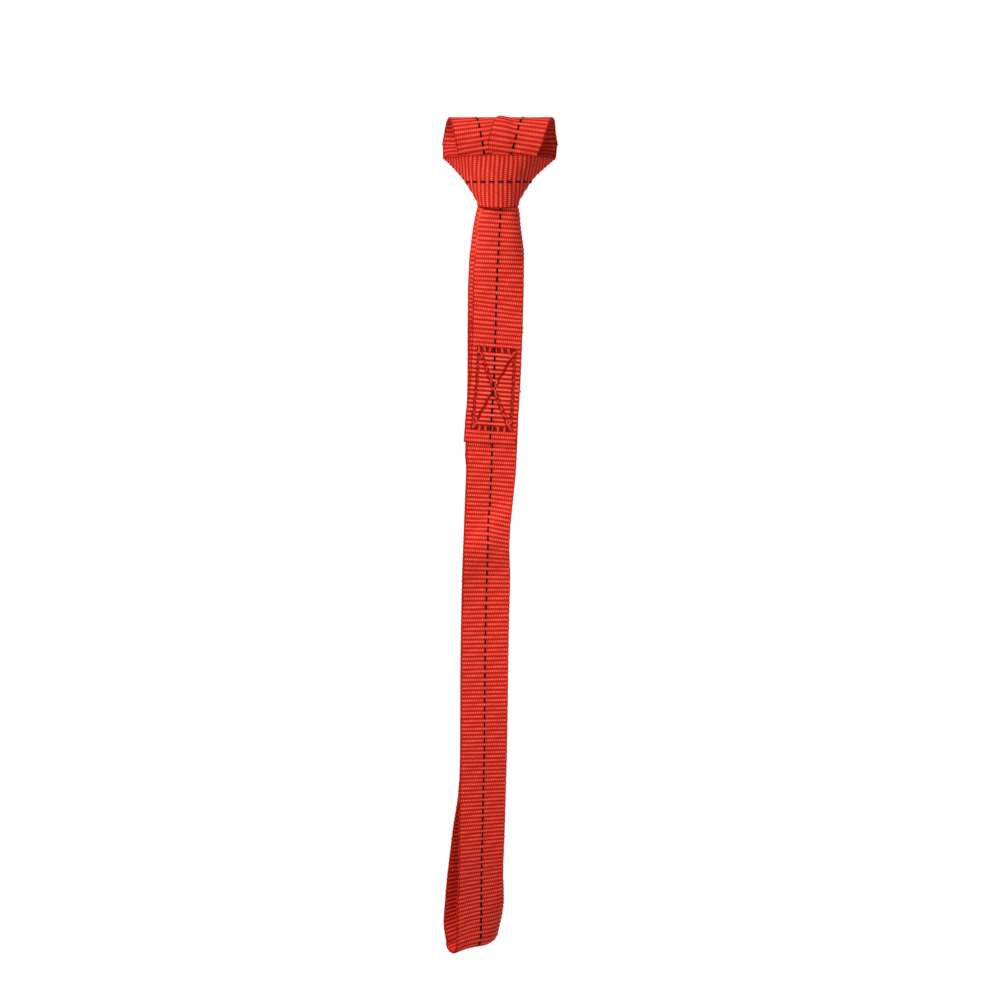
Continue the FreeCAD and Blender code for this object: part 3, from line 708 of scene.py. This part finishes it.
# Each length of webbing: its name, surface, start, end, body or bend, pinch, nodes and tracer's node.
pieces = [
    ("right_turn", front_edge, BACK_WAY, JOIN_HITCH, "hitch", None,
     ("right_bar_wrap", "front_neck"), "hitch_tracer_yarn"),
    ("left_turn", left_turn, BACK_WAY, BACK_JOIN_HITCH, "hitch", None,
     ("left_bar_wrap", "back_neck"), "hitch_tracer_yarn"),
    ("collar_strip", collar, -COLLAR_LENGTH, COLLAR_LENGTH, "hitch", None,
     ("choke_collar", "right_riser", "left_riser"), "hitch_tracer_yarn"),
    ("front_upper_strip", front_edge, JOIN_HITCH, RAW_END, UPPER, stitched,
     ("front_upper_leg",), "upper_tracer_yarn"),
    ("splice_inner_strip", front_inner, HIDDEN_END, JOIN_MIDDLE, MIDDLE, None,
     ("splice_inner_end", "front_middle_leg"), "middle_tracer_yarn"),
    ("front_middle_strip", front_inner, JOIN_MIDDLE, JOIN_LOWER, LOWER, None,
     ("front_middle_leg", "front_lower_leg"), "lower_tracer_yarn"),
    ("front_eye_strip", front_inner, JOIN_LOWER, LOWEST, EYE, None,
     ("front_lower_leg", "front_eye_leg", "bottom_bight"), "eye_tracer_yarn"),
    ("back_upper_strip", back_strand, BACK_JOIN_HITCH, BACK_JOIN_UPPER, UPPER, None,
     ("back_upper_leg",), "upper_tracer_yarn"),
    ("back_splice_strip", back_strand, BACK_JOIN_UPPER, BACK_JOIN_MIDDLE, MIDDLE, None,
     ("back_upper_leg", "back_middle_leg"), "middle_tracer_yarn"),
    ("back_middle_strip", back_strand, BACK_JOIN_MIDDLE, BACK_JOIN_LOWER, LOWER, None,
     ("back_middle_leg", "back_lower_leg"), "lower_tracer_yarn"),
    ("back_eye_strip", back_strand, BACK_JOIN_LOWER, LOWEST, EYE, None,
     ("back_lower_leg", "back_eye_leg", "bottom_bight"), "eye_tracer_yarn"),
]
for name, surface, start, end, moves, pinch, nodes, yarn in pieces:
    phase = BACK_PHASE if surface in (left_turn, back_strand) else 0.0
    finished(strip(name, surface, start, end, pinch, phase), WEBBING, "webbing", moves, *nodes)
    yarn_name = name.replace("strip", "tracer").replace("turn", "turn_tracer")
    finished(tracer(yarn_name, surface, start, end, pinch, phase), TRACER, "tracer_yarn", moves, yarn)


# --- Threads ---
STITCH_LENGTH = 3.1
STITCH_HALF_WIDTH, STITCH_HEIGHT = 0.33, 0.3
# The lift of the box's side threads, sunk in their seam, and of the bobbin's, behind the inner ply.
SIDE_LIFT = BODY - 0.62
BOBBIN_LIFT = -BODY - 0.1


def threads(name, lines, surface, lift):
    """A seam's stitches along its lines."""
    marks = [
        (way, side, length, STITCH_HALF_WIDTH, STITCH_HEIGHT, lift, heading)
        for line in lines
        for way, side, length, heading in run(*line, STITCH_LENGTH)
    ]
    return spots(name, surface, marks)


# The short bars of the box's two ends, each with its lean in degrees, and then its back-tacked corners.
bar_marks = []
for way, leans in ((TOP, (22, -16, 12, 14, 18)), (BOTTOM, (-8, 8, -6, 6, 4))):
    for i, lean in enumerate(leans):
        bar_marks.append((way, LEFT + 3.3 + 3.0 * i, 1.3, 0.55, 0.5, BODY, math.radians(lean)))
for way, side, lean in (
    (TOP - 0.2, LEFT + 0.3, 0.5), (TOP + 1.4, LEFT - 0.1, -0.6), (TOP + 2.2, LEFT + 1.3, 0.9),
    (TOP + 0.9, RIGHT - 0.4, -0.7), (TOP + 2.6, RIGHT - 1.5, -0.8),
    (BOTTOM - 0.6, LEFT + 0.4, -0.7), (BOTTOM - 2.3, LEFT + 0.6, 0.8), (BOTTOM - 3.4, LEFT + 1.6, 0.2),
    (BOTTOM - 0.7, RIGHT - 0.3, 0.7), (BOTTOM - 2.4, RIGHT - 1.5, 0.7), (BOTTOM - 3.4, RIGHT - 0.4, -0.6),
):
    bar_marks.append((way, side, 1.15, 0.45, 0.4, BODY + 0.15, lean))
bars = spots("box_stitch_bars", front_edge, bar_marks)
finished(bars, THREAD, "stitch_thread", "upper_legs", "box_stitch_thread")
sides = threads("box_stitch_sides", SIDE_RUNS, front_edge, SIDE_LIFT)
finished(sides, THREAD, "stitch_thread", "upper_legs", "box_stitch_thread")

# The chained diagonal's stitches, and then the knots where the cross meets.
LINKS = 11
knots = []
for i in range(LINKS):
    share = (i + 0.5) / LINKS
    way = CROSS_TOP + (CROSS_BOTTOM - CROSS_TOP) * share
    side = (LEFT + 1.2) * (1 - share) + (RIGHT - 1.4) * share
    knots.append((way, side, 1.35, 0.36, 0.34, BODY + 0.02, 0.5 - 0.25 * (-1) ** i))
CROSSING = (TOP + BOTTOM) / 2
for way, side, lean in (
    (-1.7, 0.9, 0.9), (-0.4, 0.2, -0.7), (0.9, 1.1, 0.3), (2.3, 0.7, -0.9), (-2.9, 1.4, -0.5),
):
    knots.append((CROSSING + way, side, 1.05, 0.42, 0.42, BODY + 0.22, lean))
cross = spots("cross_stitches", front_edge, knots)
finished(cross, THREAD, "stitch_thread", "upper_legs", "cross_stitch_thread")

# The bobbin thread, on the hidden face of the inner ply.
bobbin = threads("bobbin_box", SIDE_RUNS + END_RUNS, front_inner, BOBBIN_LIFT)
finished(bobbin, THREAD, "stitch_thread", "upper_legs", "bobbin_box_thread")
bobbin = threads("bobbin_cross", CROSS_RUNS[BOX_STEPS:], front_inner, BOBBIN_LIFT)
finished(bobbin, THREAD, "stitch_thread", "upper_legs", "bobbin_cross_thread")

# The loose end, and two bumps of thread above it at the same edge.
tail = spots("thread_tail_end", front_edge, [
    (way_of(-119.3), 11.0, 2.0, 0.4, 0.36, BODY + 0.5, 0.5),
    (way_of(-121.5), 12.5, 1.0, 0.34, 0.34, BODY + 0.4, 0.7),
    (way_of(-90.7), 12.6, 0.6, 0.4, 0.4, 0.1, 1.2),
    (way_of(-93.1), 12.6, 0.6, 0.4, 0.4, 0.1, 1.8),
])
finished(tail, THREAD, "stitch_thread", "upper_legs", "thread_tail")

# --- Floor, light and camera ---
bpy.ops.mesh.primitive_cylinder_add(vertices=96, radius=0.7, depth=0.01, location=(0, 0, -0.8))
floor = bpy.context.object
floor.name = "floor"
floor_coat, floor_shader = material("pale_floor", 0.8)
floor_shader.inputs["Base Color"].default_value = (0.85, 0.85, 0.85, 1)
floor.data.materials.append(floor_coat)


def area_light(name, place, target, size, watts, spread=180):
    """A square lamp at a place, turned towards a target. spread is in degrees."""
    lamp = bpy.data.lights.new(name, "AREA")
    lamp.size, lamp.energy, lamp.spread = size, watts, math.radians(spread)
    obj = bpy.data.objects.new(name, lamp)
    obj.location = place
    obj.rotation_euler = (Vector(target) - Vector(place)).to_track_quat("-Z", "Y").to_euler()
    bpy.context.collection.objects.link(obj)


area_light("key", (-0.6, -0.64, 0.46), (0, 0, -0.12), 0.36, 8.8)
area_light("fill", (0.35, -0.6, -0.2), (0, 0, -0.215), 0.2, 0.055, 29)

# The room is white behind the sling and grey on the other sides.
world = bpy.data.worlds.new("white_room")
world.use_nodes = True
bpy.context.scene.world = world
nodes, links = world.node_tree.nodes, world.node_tree.links
way_out = nodes.new("ShaderNodeTexCoord")
split = nodes.new("ShaderNodeSeparateXYZ")
glow = nodes.new("ShaderNodeMapRange")
glow.interpolation_type = "SMOOTHSTEP"
for socket, value in (("From Min", 0.55), ("From Max", 0.95), ("To Min", 0.40), ("To Max", 1.0)):
    glow.inputs[socket].default_value = value
links.new(way_out.outputs["Generated"], split.inputs["Vector"])
links.new(split.outputs["Y"], glow.inputs["Value"])
links.new(glow.outputs["Result"], nodes["Background"].inputs["Color"])
bpy.context.scene.view_settings.view_transform = "Standard"

# A long lens, level with a place just above the sling's middle.
lens = bpy.data.cameras.new("camera")
lens.lens, lens.sensor_width, lens.clip_start = 298.1, 36, 0.01
camera = bpy.data.objects.new("camera", lens)
camera.location = (0.00024, -4.0, -0.175)
camera.rotation_euler = (math.pi / 2, 0, 0)
bpy.context.collection.objects.link(camera)
bpy.context.scene.camera = camera
